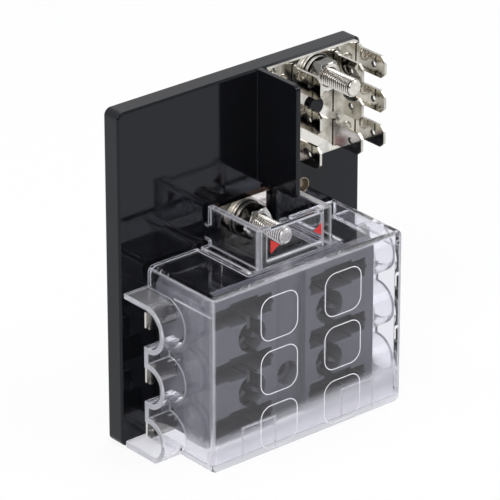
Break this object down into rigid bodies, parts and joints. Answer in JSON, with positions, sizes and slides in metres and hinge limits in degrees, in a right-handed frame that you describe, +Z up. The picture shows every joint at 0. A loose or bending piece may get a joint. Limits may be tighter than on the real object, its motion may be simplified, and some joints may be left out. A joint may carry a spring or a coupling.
{
  "type": "blade fuse block",
  "caption": "Six-way blade fuse block with a clear cover, a positive stud under a latch hood, and a negative busbar with a stud and twelve tabs.",
  "frame": {"origin": "middle of the bounding box, at the underside that the block stands on", "axes": "+X to the right seen from the front, +Y to the back (the face that is screwed to a panel), +Z up; the fuses face -Y"},
  "size_m": [0.0832, 0.033, 0.0965],
  "materials": {
    "black_moulding": "polished black moulding that mirrors what stands on it",
    "back_sheet": "plain black plastic",
    "nickel_sheet": "bright nickel plate on sheet copper",
    "nickel_tab": "nickel-plated sheet, stamped edges",
    "rivet_metal": "nickel-plated rivet",
    "stud_steel": "nickel-plated steel, cut thread",
    "washer_steel": "plated steel washer",
    "spring_steel": "plated spring steel",
    "nut_steel": "nickel-plated hexagon nut",
    "nickel_copper": "nickel plate on copper, copper shows at the cut edges",
    "clip_metal": "tinned spring brass",
    "eyelet_metal": "nickel-plated eyelet",
    "clear_plastic": "clear polycarbonate, polished",
    "clear_hood": "clear polycarbonate, polished",
    "red_print": "red printed marks"
  },
  "bodies": {
    "base": {"housing": "black_moulding", "back_cover": "back_sheet", "negative_busbar": "nickel_sheet", "negative_tab_pair_1": "nickel_tab", "negative_tab_pair_2": "nickel_tab", "negative_tab_pair_3": "nickel_tab", "negative_tab_pair_4": "nickel_tab", "negative_tab_pair_5": "nickel_tab", "negative_tab_pair_6": "nickel_tab", "negative_rivets": "rivet_metal", "negative_stud": "stud_steel", "positive_busbar": "nickel_copper", "positive_stud": "stud_steel", "supply_clip_1": "clip_metal", "supply_clip_2": "clip_metal", "supply_clip_3": "clip_metal", "supply_clip_4": "clip_metal", "supply_clip_5": "clip_metal", "supply_clip_6": "clip_metal", "load_terminal_1": "clip_metal", "load_terminal_2": "clip_metal", "load_terminal_3": "clip_metal", "load_terminal_4": "clip_metal", "load_terminal_5": "clip_metal", "load_terminal_6": "clip_metal", "mounting_eyelet": "eyelet_metal"},
    "cover": {"cover": "clear_plastic"},
    "latch": {"latch_hood": "clear_hood"},
    "negative_washers": {"negative_flat_washer": "washer_steel", "negative_spring_washer": "spring_steel"},
    "negative_nut": {"negative_nut": "nut_steel"},
    "positive_washers": {"positive_flat_washer": "washer_steel", "positive_spring_washer": "spring_steel"},
    "positive_nut": {"positive_nut": "nut_steel"}
  },
  "joints": [
    {"name": "cover_slide", "type": "slide", "parent": "base", "child": "cover", "axis": [0, -1, 0], "range_m": [0, 0.06]},
    {"name": "latch_press", "type": "hinge", "parent": "cover", "child": "latch", "pos_m": [0, -0.01085, 0.0506], "axis": [-1, 0, 0], "range_deg": [0, 3], "stiffness_Nm_per_rad": 3},
    {"name": "negative_washer_slide", "type": "slide", "parent": "base", "child": "negative_washers", "axis": [0, -1, 0], "range_m": [0, 0.004]},
    {"name": "negative_nut_turn", "type": "hinge", "parent": "negative_washers", "child": "negative_nut", "pos_m": [0.024, 0.00545, 0.0915], "axis": [0, -1, 0], "range_deg": [0, 1801]},
    {"name": "positive_washer_slide", "type": "slide", "parent": "base", "child": "positive_washers", "axis": [0, -1, 0], "range_m": [0, 0.004]},
    {"name": "positive_nut_turn", "type": "hinge", "parent": "positive_washers", "child": "positive_nut", "pos_m": [0, 0.00545, 0.056], "axis": [0, -1, 0], "range_deg": [0, 1801]}
  ],
  "couplings": [
    {"joint": "negative_nut_turn", "follows": "negative_washer_slide", "rad_per_m": 7854},
    {"joint": "positive_nut_turn", "follows": "positive_washer_slide", "rad_per_m": 7854}
  ]
}
